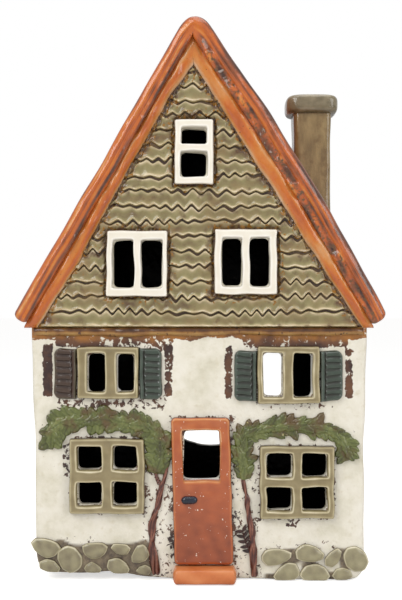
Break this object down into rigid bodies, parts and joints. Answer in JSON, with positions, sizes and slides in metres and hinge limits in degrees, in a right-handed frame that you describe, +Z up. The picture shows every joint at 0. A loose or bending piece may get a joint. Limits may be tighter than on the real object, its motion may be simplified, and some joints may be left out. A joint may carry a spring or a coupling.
{
  "type": "house tea light holder",
  "caption": "Glazed pottery house with a steep roof and chimney. A candle goes in through the round opening at the back and shines out of the windows and the door.",
  "frame": {"origin": "middle of the overall footprint, on the surface that the house rests on", "axes": "+X to the right as one faces the door, +Y from the facade towards the back, +Z up"},
  "size_m": [0.1564, 0.0974, 0.2384],
  "materials": {
    "cream_glaze": "semi-gloss transparent glaze over cream slip, with brown iron wash",
    "bare_clay": "unglazed, smooth",
    "terracotta_glaze": "glossy, streaked ochre to red-brown",
    "chimney_glaze": "glossy, streaked olive brown",
    "chimney_rim_glaze": "glossy olive brown",
    "shingle_glaze": "glossy, pale on the edges and dark brown in the hollows",
    "ochre_glaze": "glossy",
    "white_frame_glaze": "glossy",
    "olive_frame_glaze": "glossy, pale on the edges",
    "shutter_glaze": "glossy, brown in the hollows",
    "door_glaze": "semi-gloss with fine pale specks",
    "handle_glaze": "glossy",
    "step_glaze": "glossy",
    "leaf_glaze": "glossy, pale on the edges",
    "stem_glaze": "semi-gloss",
    "stone_glaze": "glossy, speckled"
  },
  "bodies": {
    "root": {"front_wall": "cream_glaze", "back_wall": "cream_glaze", "left_wall": "cream_glaze", "right_wall": "cream_glaze", "base_slab": "bare_clay", "left_roof_slab": "terracotta_glaze", "right_roof_slab": "terracotta_glaze", "left_bargeboard": "terracotta_glaze", "right_bargeboard": "terracotta_glaze", "chimney_stack": "chimney_glaze", "chimney_rim": "chimney_rim_glaze", "gable_shingles": "shingle_glaze", "ledge_band": "ochre_glaze", "attic_window_frame": "white_frame_glaze", "left_gable_window_frame": "white_frame_glaze", "right_gable_window_frame": "white_frame_glaze", "left_upper_window_frame": "olive_frame_glaze", "right_upper_window_frame": "olive_frame_glaze", "left_lower_window_frame": "olive_frame_glaze", "right_lower_window_frame": "olive_frame_glaze", "left_upper_window_left_shutter": "shutter_glaze", "left_upper_window_right_shutter": "shutter_glaze", "right_upper_window_left_shutter": "shutter_glaze", "right_upper_window_right_shutter": "shutter_glaze", "door": "door_glaze", "door_handle": "handle_glaze", "doorstep": "step_glaze", "left_foliage": "leaf_glaze", "right_foliage": "leaf_glaze", "left_vine_stem": "stem_glaze", "right_vine_stem": "stem_glaze", "right_vine_sprig": "stem_glaze", "left_plinth_stone_1": "stone_glaze", "left_plinth_stone_2": "stone_glaze", "left_plinth_stone_3": "stone_glaze", "left_plinth_stone_4": "stone_glaze", "left_plinth_stone_5": "stone_glaze", "left_plinth_stone_6": "stone_glaze", "left_plinth_stone_7": "stone_glaze", "left_plinth_stone_8": "stone_glaze", "left_plinth_stone_9": "stone_glaze", "right_plinth_stone_1": "stone_glaze", "right_plinth_stone_2": "stone_glaze", "right_plinth_stone_3": "stone_glaze", "right_plinth_stone_4": "stone_glaze", "right_plinth_stone_5": "stone_glaze", "right_plinth_stone_6": "stone_glaze", "right_plinth_stone_7": "stone_glaze"}
  },
  "joints": []
}
